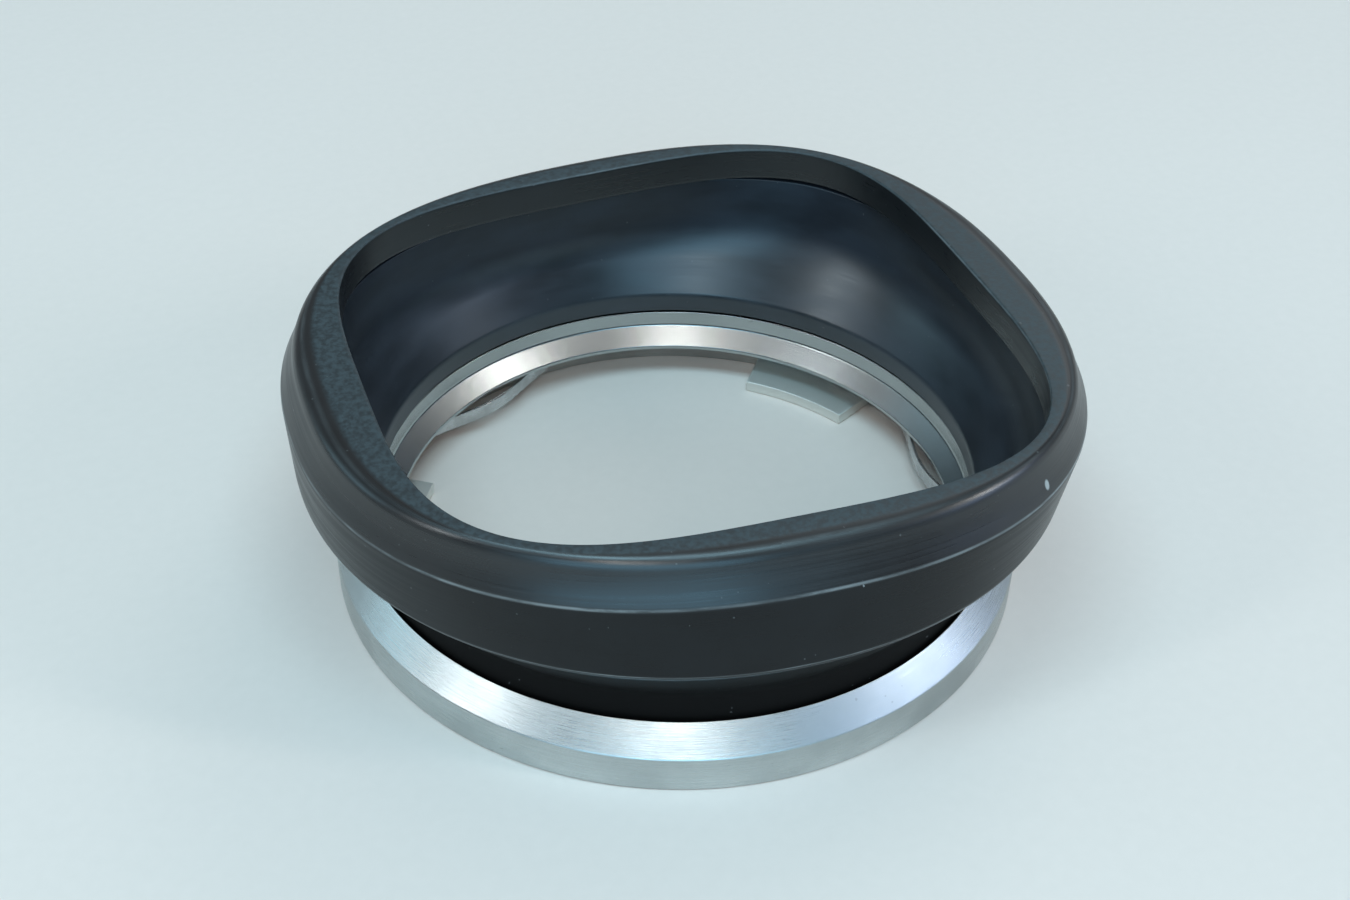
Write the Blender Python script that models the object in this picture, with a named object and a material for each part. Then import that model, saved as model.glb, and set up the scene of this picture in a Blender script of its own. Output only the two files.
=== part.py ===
"""Bayonet lens hood with a rounded rectangular mouth.

A black metal head is screwed onto a bright bayonet ring, and a black funnel is held between them.
Inside the ring are three lugs, the leaf springs that take up the play on the camera's bayonet,
their rivets and a stop pin.

Frame: the optical axis is Z, pointing out of the hood's mouth. The ring's rear face lies at Z = 0,
and the mouth's longer side runs along X. Everything is in metres.
"""

import math

import bmesh
import bpy

MM = 0.001

# Driving dimensions
SEGMENTS = 64                    # steps round the axis
GAP = 0.3 * MM                   # clearance between separate pieces

RING_RADIUS = 27.0 * MM          # outside of the bright ring
RING_WALL_HEIGHT = 3.0 * MM      # upright outer wall, below the bevel
RING_TOP = 5.05 * MM             # where the bevel ends at the neck
BORE_RADIUS = 22.1 * MM          # edge that stands in over the counterbore
COLLAR_BORE_RADIUS = 23.4 * MM   # bright inner wall of the collar
CHAMFER_LOW = 3.1 * MM           # chamfer between the two
CHAMFER_HIGH = 4.6 * MM
COLLAR_OUTSIDE = 23.8 * MM       # thread seat inside the neck
COLLAR_TOP = 5.9 * MM
CHANNEL_FLOOR = 4.1 * MM         # bottom of the channel that the neck goes down into
RECESS_RADIUS = 24.8 * MM        # counterbore that takes the camera's bayonet
RECESS_ROOF = 2.8 * MM

NECK_RADIUS = 24.9 * MM
NECK_WALL = 0.8 * MM
NECK_BOTTOM = CHANNEL_FLOOR + GAP
NECK_TOP = 7.5 * MM
SHELL_WALL = 0.9 * MM

BAND_Z = 12.3 * MM               # lower edge of the head
CREASE_Z = 17.6 * MM             # widest line of the head
LIP_Z = 20.9 * MM                # flat front face
LIP_THICKNESS = 2.8 * MM

# Outlines are superellipses: half length on X, half length on Y, power (2 is an ellipse), and the share
# by which the outline is wider at its +X end and narrower at its -X end.
BAND = (29.2 * MM, 28.2 * MM, 2.08, 0.030)
CREASE = (29.4 * MM, 27.1 * MM, 2.32, 0.060)
CREST = (27.8 * MM, 25.5 * MM, 2.45, 0.058)
MOUTH = (23.8 * MM, 23.0 * MM, 3.55, 0.050)

ROOF = (28.1 * MM, 25.8 * MM, 2.45, 0.060)    # inside of the bevel, under the lip

FUNNEL_WALL = 0.6 * MM
FUNNEL_FOOT_RADIUS = 23.2 * MM
FUNNEL_FOOT_TOP = 7.8 * MM
FUNNEL_BELLY = (26.4 * MM, 25.4 * MM, 2.12, 0.030)
FUNNEL_BELLY_Z = 12.8 * MM       # widest line of the funnel, behind the band
FUNNEL_MOUTH = (25.1 * MM, 24.2 * MM, 2.85, 0.050)

LUG_COUNT = 3
LUG_FIRST_ANGLE = 39.0           # degrees from +X, middle of the first lug
LUG_SPAN = 26.0                  # degrees
LUG_RADIUS = 20.7 * MM           # inner end
LUG_THICKNESS = 1.0 * MM

SPRING_THICKNESS = 0.25 * MM
SPRING_LOW = LUG_THICKNESS + GAP
SPRING_HIGH = RECESS_ROOF - GAP
SPRING_SEAT_RADIUS = RECESS_RADIUS - GAP - SPRING_THICKNESS / 2
SPRING_SEAT_SPAN = 12.0          # degrees, flat against the wall
SPRING_BOW_SPAN = 44.0           # degrees, free to flex
SPRING_BOW = 2.9 * MM            # how far the bow stands in from the seat
SPRING_FROM_LUG = 4.0            # degrees, from the lug's middle to the seat's start

RIVET_SPACING = 6.4              # degrees between a spring's two rivets
RIVET_SHANK = 0.30 * MM          # radius
RIVET_HEAD = 0.55 * MM           # radius
RIVET_HEAD_HEIGHT = 0.3 * MM
RIVET_DEPTH = 1.1 * MM           # shank inside the ring

STOP_PIN_ANGLE = LUG_FIRST_ANGLE + LUG_SPAN / 2 + 9.0
STOP_PIN_RADIUS = 0.4 * MM
STOP_PIN_FROM_AXIS = 23.95 * MM
STOP_PIN_LOW = 1.7 * MM
STOP_PIN_HIGH = 3.4 * MM

SET_SCREW_ANGLE = 252.0
SET_SCREW_RADIUS = 0.35 * MM
SET_SCREW_Z = 5.2 * MM
SET_SCREW_INNER = 23.45 * MM
SET_SCREW_OUTER = 24.35 * MM
SET_SCREW_SLOT = 0.2 * MM


def clear_scene():
    for obj in list(bpy.data.objects):
        bpy.data.objects.remove(obj, do_unlink=True)


def make_material(name, colour, roughness, metallic):
    material = bpy.data.materials.new(name)
    material.use_nodes = True
    shader = material.node_tree.nodes["Principled BSDF"]
    shader.inputs["Base Color"].default_value = (*colour, 1.0)
    shader.inputs["Roughness"].default_value = roughness
    shader.inputs["Metallic"].default_value = metallic
    return material


def make_object(name, bm, material, smooth_angle=30.0):
    """Turns a bmesh into an object whose faces point outwards."""
    bmesh.ops.recalc_face_normals(bm, faces=bm.faces)
    mesh = bpy.data.meshes.new(name)
    bm.to_mesh(mesh)
    bm.free()
    mesh.shade_smooth()
    mesh.set_sharp_from_angle(angle=math.radians(smooth_angle))
    obj = bpy.data.objects.new(name, mesh)
    bpy.context.scene.collection.objects.link(obj)
    if material:
        mesh.materials.append(material)
    return obj


def cut(target, cutter, operation="DIFFERENCE"):
    """Adds a boolean to target, and hides the object that shapes it."""
    cutter.hide_render = True
    cutter.display_type = "WIRE"
    modifier = target.modifiers.new(cutter.name, "BOOLEAN")
    modifier.operation = operation
    modifier.solver = "EXACT"
    modifier.object = cutter


def outline(half_x, half_y, power, taper, z):
    """Points of a tapered superellipse round the axis, at equal steps of angle."""
    points = []
    for step in range(SEGMENTS):
        angle = math.tau * step / SEGMENTS
        across, along = math.cos(angle), math.sin(angle)
        size = (abs(across) / half_x) ** power + (abs(along) / half_y) ** power
        radius = size ** (-1 / power)
        widening = 1 + taper * radius * across / half_x
        points.append((radius * across, radius * along * widening, z))
    return points


def circle(radius, z, rounding=0.0):
    return (radius, radius, 2.0, 0.0, z, rounding)


def shaped(outline_size, z, rounding=0.0, inset=0.0):
    half_x, half_y, power, taper = outline_size
    return (half_x - inset, half_y - inset, power, taper, z, rounding)


def round_corners(corners, steps=3):
    """Replaces each corner of a closed section that has a rounding by a few stations on a curve."""
    stations = []
    for index, corner in enumerate(corners):
        here, rounding = corner[:5], corner[5]
        if rounding == 0:
            stations.append(here)
            continue
        ends = []
        for other in (corners[index - 1][:5], corners[(index + 1) % len(corners)][:5]):
            length = math.hypot(other[1] - here[1], other[4] - here[4])
            share = min(rounding / length, 0.5)
            ends.append([a + (b - a) * share for a, b in zip(here, other)])
        for step in range(steps + 1):
            t = step / steps
            stations.append(
                [
                    (1 - t) ** 2 * a + 2 * t * (1 - t) * b + t**2 * c
                    for a, b, c in zip(ends[0], here, ends[1])
                ]
            )
    return stations


def loft(name, corners, material, steps=3, smooth_angle=30.0):
    """A tube round the axis, skinned through a closed section of outlines."""
    bm = bmesh.new()
    loops = [[bm.verts.new(point) for point in outline(*station)] for station in round_corners(corners, steps)]
    for index, loop in enumerate(loops):
        following = loops[(index + 1) % len(loops)]
        for step in range(SEGMENTS):
            after = (step + 1) % SEGMENTS
            bm.faces.new((loop[step], loop[after], following[after], following[step]))
    return make_object(name, bm, material, smooth_angle)


def arc_block(name, inner, outer, low, high, middle, span, steps, material=None):
    """A block bent round the axis. inner and outer give its radius at each fraction of its span."""
    bm = bmesh.new()
    sections = []
    for step in range(steps + 1):
        share = step / steps
        angle = math.radians(middle + span * (share - 0.5))
        across, along = math.cos(angle), math.sin(angle)
        corners = ((inner(share), low), (outer(share), low), (outer(share), high), (inner(share), high))
        sections.append([bm.verts.new((radius * across, radius * along, z)) for radius, z in corners])
    for here, following in zip(sections, sections[1:]):
        for side in range(4):
            after = (side + 1) % 4
            bm.faces.new((here[side], here[after], following[after], following[side]))
    bm.faces.new(sections[0])
    bm.faces.new(sections[-1])
    return make_object(name, bm, material)


def turned(name, profile, material=None, sides=16):
    """A solid turned round its own Z axis from a profile of (radius, z) that starts and ends on the axis."""
    bm = bmesh.new()
    points = [bm.verts.new((radius, 0, z)) for radius, z in profile]
    edges = [bm.edges.new(pair) for pair in zip(points, points[1:])]
    bmesh.ops.spin(
        bm, geom=points + edges, cent=(0, 0, 0), axis=(0, 0, 1), angle=math.tau, steps=sides, use_merge=True
    )
    bmesh.ops.remove_doubles(bm, verts=bm.verts, dist=0.001 * MM)
    return make_object(name, bm, material)


def aim_outwards(obj, angle, radius, z):
    """Places a turned piece with its Z axis pointing away from the optical axis."""
    radians = math.radians(angle)
    obj.location = (radius * math.cos(radians), radius * math.sin(radians), z)
    obj.rotation_euler = (0, math.pi / 2, radians)


def rod(name, radius, low, high):
    return turned(name, [(0, low), (radius, low), (radius, high), (0, high)])


def make_shell(material):
    """Black head: neck, band, bevel up to the crest, flat front lip, and the hollow behind them."""
    lip_underside = LIP_Z - LIP_THICKNESS
    inner_neck = NECK_RADIUS - NECK_WALL
    corners = [
        circle(NECK_RADIUS, NECK_BOTTOM),
        circle(NECK_RADIUS, NECK_TOP, 0.5 * MM),
        shaped(BAND, BAND_Z, 0.5 * MM),
        shaped(CREASE, CREASE_Z, 0.35 * MM),
        shaped(CREST, LIP_Z, 0.9 * MM),
        shaped(MOUTH, LIP_Z, 0.35 * MM),
        shaped(MOUTH, lip_underside, 0.3 * MM),
        shaped(ROOF, lip_underside),
        shaped(CREASE, CREASE_Z, inset=SHELL_WALL),
        shaped(BAND, BAND_Z + SHELL_WALL / 2, inset=SHELL_WALL),
        circle(inner_neck, NECK_TOP + 0.1 * MM),
        circle(inner_neck, NECK_BOTTOM),
    ]
    shell = loft("hood_shell", corners, material)
    hole = rod("set_screw_tapping", SET_SCREW_RADIUS + 0.15 * MM, 0, SET_SCREW_OUTER - BORE_RADIUS + GAP)
    aim_outwards(hole, SET_SCREW_ANGLE, BORE_RADIUS, SET_SCREW_Z)
    cut(shell, hole)
    return shell


def make_funnel(material):
    """Black inner funnel: a round foot on the collar, a flare, and a wall up to the back of the lip."""
    top = LIP_Z - LIP_THICKNESS - GAP
    corners = [
        circle(FUNNEL_FOOT_RADIUS + FUNNEL_WALL, COLLAR_TOP + GAP),
        circle(FUNNEL_FOOT_RADIUS + FUNNEL_WALL, FUNNEL_FOOT_TOP, 0.3 * MM),
        shaped(FUNNEL_BELLY, FUNNEL_BELLY_Z, 2.4 * MM, inset=-FUNNEL_WALL),
        shaped(FUNNEL_MOUTH, top, inset=-FUNNEL_WALL),
        shaped(FUNNEL_MOUTH, top),
        shaped(FUNNEL_BELLY, FUNNEL_BELLY_Z, 2.4 * MM),
        circle(FUNNEL_FOOT_RADIUS, FUNNEL_FOOT_TOP, 0.3 * MM),
        circle(FUNNEL_FOOT_RADIUS, COLLAR_TOP + GAP),
    ]
    return loft("inner_funnel", corners, material)


def lug_angle(index):
    return LUG_FIRST_ANGLE + 360.0 / LUG_COUNT * index


def seat_middle(index):
    """Angle of the middle of a spring's riveted seat, which is also its hinge."""
    return lug_angle(index) - SPRING_FROM_LUG - SPRING_SEAT_SPAN / 2


def rivet_angles(index):
    return [seat_middle(index) + side * RIVET_SPACING / 2 for side in (1, -1)]


def spring_middle_z():
    return (SPRING_LOW + SPRING_HIGH) / 2


def make_ring(material):
    """Bright turned ring with a bevel, a threaded collar, a counterbore and three inward lugs."""
    channel_outside = NECK_RADIUS + GAP
    corners = [
        circle(RECESS_RADIUS, 0, 0.2 * MM),
        circle(RING_RADIUS, 0, 0.25 * MM),
        circle(RING_RADIUS, RING_WALL_HEIGHT, 0.12 * MM),
        circle(channel_outside, RING_TOP),
        circle(channel_outside, CHANNEL_FLOOR),
        circle(COLLAR_OUTSIDE, CHANNEL_FLOOR),
        circle(COLLAR_OUTSIDE, COLLAR_TOP),
        circle(COLLAR_BORE_RADIUS, COLLAR_TOP, 0.1 * MM),
        circle(COLLAR_BORE_RADIUS, CHAMFER_HIGH, 0.2 * MM),
        circle(BORE_RADIUS, CHAMFER_LOW, 0.1 * MM),
        circle(BORE_RADIUS, RECESS_ROOF),
        circle(RECESS_RADIUS, RECESS_ROOF),
    ]
    ring = loft("bayonet_ring", corners, material, steps=2)
    into_ring = 0.8 * MM
    for index in range(LUG_COUNT):
        lug = arc_block(
            f"lug_{index + 1}",
            lambda share: LUG_RADIUS,
            lambda share: RECESS_RADIUS + into_ring,
            0.02 * MM,
            LUG_THICKNESS,
            lug_angle(index),
            LUG_SPAN,
            8,
        )
        cut(ring, lug, "UNION")
    for index in range(LUG_COUNT):
        for side, angle in zip("ab", rivet_angles(index)):
            hole = rod(f"rivet_hole_{index + 1}{side}", RIVET_SHANK + 0.25 * MM, -0.5 * MM, RIVET_DEPTH + GAP)
            aim_outwards(hole, angle, RECESS_RADIUS, spring_middle_z())
            cut(ring, hole)
    pin_hole = rod("stop_pin_hole", STOP_PIN_RADIUS + 0.2 * MM, RECESS_ROOF - MM, STOP_PIN_HIGH + 0.2 * MM)
    pin_hole.location = stop_pin_place()
    cut(ring, pin_hole)
    screw_hole = rod("set_screw_hole", SET_SCREW_RADIUS + 0.15 * MM, -0.5 * MM, COLLAR_OUTSIDE - BORE_RADIUS + GAP)
    aim_outwards(screw_hole, SET_SCREW_ANGLE, BORE_RADIUS, SET_SCREW_Z)
    cut(ring, screw_hole)
    return ring


def make_spring(index, material):
    """Spring steel leaf: a riveted seat against the wall, then a bow that presses on the camera."""
    pivot_angle = math.radians(seat_middle(index))
    pivot = (SPRING_SEAT_RADIUS * math.cos(pivot_angle), SPRING_SEAT_RADIUS * math.sin(pivot_angle))
    span = SPRING_SEAT_SPAN + SPRING_BOW_SPAN
    bow_share = SPRING_BOW_SPAN / span

    def middle_radius(share):
        along = max(0.0, 1 - share / bow_share)
        return SPRING_SEAT_RADIUS - SPRING_BOW * math.sin(math.pi * 0.84 * along) ** 2

    leaf = arc_block(
        f"leaf_spring_{index + 1}",
        lambda share: middle_radius(share) - SPRING_THICKNESS / 2,
        lambda share: middle_radius(share) + SPRING_THICKNESS / 2,
        SPRING_LOW,
        SPRING_HIGH,
        lug_angle(index) - SPRING_FROM_LUG - span / 2,
        span,
        28,
        material,
    )
    for vertex in leaf.data.vertices:
        vertex.co.x -= pivot[0]
        vertex.co.y -= pivot[1]
    leaf.location = (*pivot, 0)
    for side, angle in zip("ab", rivet_angles(index)):
        hole = rod(f"leaf_hole_{index + 1}{side}", RIVET_SHANK + 0.2 * MM, -MM, MM)
        aim_outwards(hole, angle, SPRING_SEAT_RADIUS, spring_middle_z())
        cut(leaf, hole)
    return leaf


def make_rivet(index, side, angle, material):
    """Round-headed rivet that holds a leaf's seat to the ring, with its head inside."""
    underside = -SPRING_THICKNESS / 2 - 0.2 * MM
    tip = RECESS_RADIUS + RIVET_DEPTH - SPRING_SEAT_RADIUS
    profile = [
        (0, underside - RIVET_HEAD_HEIGHT),
        (RIVET_HEAD * 0.6, underside - RIVET_HEAD_HEIGHT * 0.8),
        (RIVET_HEAD, underside - RIVET_HEAD_HEIGHT * 0.3),
        (RIVET_HEAD, underside),
        (RIVET_SHANK, underside),
        (RIVET_SHANK, tip),
        (0, tip),
    ]
    rivet = turned(f"spring_rivet_{index + 1}{side}", profile, material, 12)
    aim_outwards(rivet, angle, SPRING_SEAT_RADIUS, spring_middle_z())
    return rivet


def stop_pin_place():
    radians = math.radians(STOP_PIN_ANGLE)
    return (STOP_PIN_FROM_AXIS * math.cos(radians), STOP_PIN_FROM_AXIS * math.sin(radians), 0)


def make_stop_pin(material):
    """Pin in the counterbore's roof that stops the bayonet's turn with the mouth level."""
    tip = 0.12 * MM
    profile = [
        (0, STOP_PIN_LOW),
        (STOP_PIN_RADIUS - tip, STOP_PIN_LOW),
        (STOP_PIN_RADIUS, STOP_PIN_LOW + tip),
        (STOP_PIN_RADIUS, STOP_PIN_HIGH),
        (0, STOP_PIN_HIGH),
    ]
    pin = turned("stop_pin", profile, material, 12)
    pin.location = stop_pin_place()
    return pin


def make_set_screw(material):
    """Headless slotted screw that locks the neck on the collar once the mouth is squared up."""
    length = SET_SCREW_OUTER - SET_SCREW_INNER
    point = 0.25 * MM
    profile = [
        (0, 0),
        (SET_SCREW_RADIUS, 0),
        (SET_SCREW_RADIUS, length - point),
        (SET_SCREW_RADIUS - point, length),
        (0, length),
    ]
    screw = turned("neck_set_screw", profile, material)
    aim_outwards(screw, SET_SCREW_ANGLE, SET_SCREW_INNER, SET_SCREW_Z)
    bm = bmesh.new()
    bmesh.ops.create_cube(bm, size=1)
    bmesh.ops.scale(bm, vec=(SET_SCREW_SLOT, 4 * SET_SCREW_RADIUS, 2 * 0.3 * MM), verts=bm.verts)
    slot = make_object("set_screw_slot", bm, None)
    aim_outwards(slot, SET_SCREW_ANGLE, SET_SCREW_INNER, SET_SCREW_Z)
    cut(screw, slot)
    return screw


def main():
    clear_scene()
    black_enamel = make_material("black_enamel", (0.012, 0.018, 0.022), 0.38, 0.0)
    black_funnel = make_material("black_funnel", (0.010, 0.012, 0.016), 0.30, 0.0)
    bright_aluminium = make_material("bright_aluminium", (0.80, 0.80, 0.79), 0.28, 1.0)
    spring_steel = make_material("spring_steel", (0.52, 0.53, 0.54), 0.30, 1.0)
    plated_brass = make_material("plated_brass", (0.66, 0.64, 0.58), 0.30, 1.0)

    make_shell(black_enamel)
    make_funnel(black_funnel)
    make_ring(bright_aluminium)
    for index in range(LUG_COUNT):
        make_spring(index, spring_steel)
        for side, angle in zip("ab", rivet_angles(index)):
            make_rivet(index, side, angle, plated_brass)
    make_stop_pin(spring_steel)
    make_set_screw(spring_steel)


main()
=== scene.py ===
"""Looks of the bayonet lens hood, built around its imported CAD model.

Same frame as the CAD: metres, optical axis on +Z, ring's rear face at Z = 0, mouth's longer side on X.
"""

import math

import bmesh
import bpy
import numpy as np
from mathutils import Matrix, Quaternion, Vector


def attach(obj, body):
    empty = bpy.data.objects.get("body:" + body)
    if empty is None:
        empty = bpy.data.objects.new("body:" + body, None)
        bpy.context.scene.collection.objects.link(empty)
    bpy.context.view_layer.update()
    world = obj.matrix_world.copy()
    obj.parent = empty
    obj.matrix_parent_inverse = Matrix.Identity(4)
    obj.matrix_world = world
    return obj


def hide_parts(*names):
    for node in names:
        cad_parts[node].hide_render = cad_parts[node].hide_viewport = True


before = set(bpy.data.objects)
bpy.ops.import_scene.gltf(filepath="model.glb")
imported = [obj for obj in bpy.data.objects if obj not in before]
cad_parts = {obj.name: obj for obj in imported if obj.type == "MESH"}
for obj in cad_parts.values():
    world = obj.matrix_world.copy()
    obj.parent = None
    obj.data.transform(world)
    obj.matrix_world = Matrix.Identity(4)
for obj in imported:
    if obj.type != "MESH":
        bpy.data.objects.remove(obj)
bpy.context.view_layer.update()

MM = 0.001

# Sizes shared with the CAD model
GAP = 0.3 * MM
RING_RADIUS = 27.0 * MM
RING_WALL_HEIGHT = 3.0 * MM
RING_TOP = 5.05 * MM
BORE_RADIUS = 22.1 * MM
COLLAR_BORE_RADIUS = 23.4 * MM
CHAMFER_LOW = 3.1 * MM
CHAMFER_HIGH = 4.6 * MM
COLLAR_OUTSIDE = 23.8 * MM
COLLAR_TOP = 5.9 * MM
CHANNEL_FLOOR = 4.1 * MM
RECESS_RADIUS = 24.8 * MM
RECESS_ROOF = 2.8 * MM
NECK_RADIUS = 24.9 * MM
NECK_WALL = 0.8 * MM
NECK_INSIDE_RISE = 0.1 * MM
NECK_BOTTOM = CHANNEL_FLOOR + GAP
NECK_TOP = 7.5 * MM
SHELL_WALL = 0.9 * MM
BAND_Z = 12.3 * MM
CREASE_Z = 17.6 * MM
LIP_Z = 20.9 * MM
LIP_THICKNESS = 2.8 * MM
# Outlines are superellipses: half length on X, half length on Y, power, and the share by which the
# outline is wider at its +X end and narrower at its -X end.
BAND = (29.2 * MM, 28.2 * MM, 2.08, 0.030)
CREASE = (29.4 * MM, 27.1 * MM, 2.32, 0.060)
CREST = (27.8 * MM, 25.5 * MM, 2.45, 0.058)
MOUTH = (23.8 * MM, 23.0 * MM, 3.55, 0.050)
ROOF = (28.1 * MM, 25.8 * MM, 2.45, 0.060)
FUNNEL_WALL = 0.6 * MM
FUNNEL_FOOT_RADIUS = 23.2 * MM
FUNNEL_FOOT_TOP = 7.8 * MM
FUNNEL_BELLY = (26.4 * MM, 25.4 * MM, 2.12, 0.030)
FUNNEL_BELLY_Z = 12.8 * MM
FUNNEL_MOUTH = (25.1 * MM, 24.2 * MM, 2.85, 0.050)
LUG_COUNT = 3
LUG_FIRST_ANGLE = 39.0
LUG_SPAN = 26.0
LUG_RADIUS = 20.7 * MM
LUG_THICKNESS = 1.0 * MM
LUG_LOW = 0.02 * MM              # how far a lug stands in from the ring's rear face
LUG_ROOT = 0.8 * MM              # how far a lug runs into the ring's wall
SPRING_THICKNESS = 0.25 * MM
SPRING_LOW = LUG_THICKNESS + GAP
SPRING_HIGH = RECESS_ROOF - GAP
SPRING_SEAT_RADIUS = RECESS_RADIUS - GAP - SPRING_THICKNESS / 2
SPRING_SEAT_SPAN = 12.0
SPRING_BOW_SPAN = 44.0
SPRING_BOW = 2.9 * MM
SPRING_FROM_LUG = 4.0
SPRING_WAVE = 0.84               # share of half a wave in a leaf's bow
RIVET_SPACING = 6.4
RIVET_SHANK = 0.30 * MM
RIVET_HEAD = 0.55 * MM
RIVET_HEAD_HEIGHT = 0.3 * MM
RIVET_DEPTH = 1.1 * MM
STOP_PIN_ANGLE = LUG_FIRST_ANGLE + LUG_SPAN / 2 + 9.0
STOP_PIN_RADIUS = 0.4 * MM
STOP_PIN_FROM_AXIS = 23.95 * MM
STOP_PIN_LOW = 1.7 * MM
STOP_PIN_HIGH = 3.4 * MM
SET_SCREW_ANGLE = 252.0
SET_SCREW_RADIUS = 0.35 * MM
SET_SCREW_Z = 5.2 * MM
SET_SCREW_INNER = 23.45 * MM
SET_SCREW_OUTER = 24.35 * MM
SET_SCREW_SLOT = 0.2 * MM
SET_SCREW_SLOT_DEPTH = 0.3 * MM
SET_SCREW_POINT = 0.25 * MM
STOP_PIN_TIP = 0.12 * MM

# The bevel's outline about halfway up, set in a little so that the bevel is hollow
BEVEL_HOLLOW = (28.48 * MM, 26.18 * MM, 2.385, 0.059)
BEVEL_HOLLOW_Z = 19.2 * MM
BEVEL_HOLLOW_ROUNDING = 1.4 * MM

# Roundings
CREST_ROUNDING = 1.8 * MM
BELLY_ROUNDING = 2.4 * MM
NECK_ROUNDING = 0.5 * MM
SOFT_EDGE = 0.3 * MM
INSIDE_ROUNDING = 0.2 * MM
RIM_ROUNDING = 0.25 * MM
CRISP_EDGE = 0.12 * MM
CHAMFER_EDGE = 0.1 * MM
RECESS_EDGE = 0.08 * MM
LUG_EDGE = 0.08 * MM
LEAF_EDGE = 0.04 * MM
SCREW_EDGE = 0.05 * MM
RIVET_EDGE = 0.06 * MM           # straight side below a rivet's dome

# Gaps and holes, with closer fits than the CAD's
RIVET_HEAD_GAP = 0.12 * MM       # between a rivet's head and its leaf
LEAF_HOLE_FIT = 0.08 * MM        # by how much a hole's radius is larger than what stands in it
RING_HOLE_FIT = 0.02 * MM
SCREW_HOLE_FIT = 0.03 * MM
HOLE_START = 0.5 * MM            # how far a hole's cutter starts outside the metal
STOP_PIN_HOLE_END = 0.2 * MM     # how far the stop pin's hole runs on above it

# A small chip in the enamel of the bevel, taller than it is wide. Heights are halved to compare distances.
CHIP_SHAPE = (1.0, 1.0, 0.5)
CHIP = (18.28 * MM, -23.17 * MM, 18.59 * CHIP_SHAPE[2] * MM)
CHIP_CORE = 0.17 * MM
CHIP_EDGE = 0.30 * MM

# Angles, in degrees, from which an edge is shaded sharp
HEAD_SHARP_FROM = 30.0
RING_SHARP_FROM = 25.0
LEAF_SHARP_FROM = 35.0
SMALL_SHARP_FROM = 40.0

# Steps and sizes of the meshes
SEGMENTS = 384                   # steps round the axis of the fine surfaces
CORNER_STEPS = 7
LARGEST_SHARE = 0.49             # of the way to the next corner that a rounding may take
LUG_STEPS = 40
LEAF_STEPS = 112
FLOOR_RADIUS = 3.0
FLOOR_GAP = 0.02 * MM            # between the floor and the ring's rear face
HOLE_SIDES = 64
SMALL_SIDES = 48                 # sides of the rivets, the stop pin and the set screw
DOME_STEPS = 10
BEVEL_FROM = math.radians(35)    # edges that turn by more than this are bevelled
GRAIN_LENGTH = 25 * MM           # distance along a section that counts as 1 in the grain's coordinates

# Camera
FRAME_WIDTH = 1350
FOCAL = 1800                     # in the same unit as FRAME_WIDTH
SENSOR_WIDTH = 36.0
CAMERA_AZIMUTH = 249.0           # degrees from +X
CAMERA_ELEVATION = 41.28
CAMERA_DISTANCE = 146.56 * MM
CAMERA_YAW = 0.073
CAMERA_PITCH = 2.685
CAMERA_ROLL = -1.318

scene = bpy.context.scene


# ---------------------------------------------------------------- geometry

def outline(half_x, half_y, power, taper, z):
    """Points of a tapered superellipse round the axis."""
    angle = np.arange(SEGMENTS) * math.tau / SEGMENTS
    across, along = np.cos(angle), np.sin(angle)
    size = (np.abs(across) / half_x) ** power + (np.abs(along) / half_y) ** power
    radius = size ** (-1 / power)
    widening = 1 + taper * radius * across / half_x
    return np.stack([radius * across, radius * along * widening, np.full(SEGMENTS, z)], axis=1)


def circle(radius, z, rounding=0.0, mark=""):
    return (outline(radius, radius, 2.0, 0.0, z), rounding, mark)


def shaped(size, z, rounding=0.0, inset=0.0, mark=""):
    half_x, half_y, power, taper = size
    return (outline(half_x - inset, half_y - inset, power, taper, z), rounding, mark)


def section_length(first, second):
    """Distance between two outlines, measured on the +X side."""
    return float(np.linalg.norm(first[0] - second[0]))


def stations_of(corners):
    """Outlines along a closed section with its corners rounded, and where each marked corner lies."""
    stations, marks = [], {}
    for index, (here, rounding, mark) in enumerate(corners):
        before, after = corners[index - 1][0], corners[(index + 1) % len(corners)][0]
        if rounding == 0:
            added = [here]
        else:
            ends = []
            for other in (before, after):
                share = min(rounding / section_length(other, here), LARGEST_SHARE)
                ends.append(here + (other - here) * share)
            added = []
            for step in range(CORNER_STEPS + 1):
                t = step / CORNER_STEPS
                added.append((1 - t) ** 2 * ends[0] + 2 * t * (1 - t) * here + t**2 * ends[1])
        if mark:
            marks[mark] = len(stations) + len(added) // 2
        stations.extend(added)
    return stations, marks


def keep_smooth(obj, sharp_from):
    """Smooth shading, with edges that turn by more than sharp_from degrees left crisp."""
    obj.data.shade_smooth()
    obj.data.set_sharp_from_angle(angle=math.radians(sharp_from))
    modifier = obj.modifiers.new("even_normals", "WEIGHTED_NORMAL")
    modifier.keep_sharp = True


def add_object(name, mesh, body, replaced):
    obj = bpy.data.objects.new(name, mesh)
    scene.collection.objects.link(obj)
    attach(obj, body)
    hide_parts(replaced)
    return obj


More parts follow.
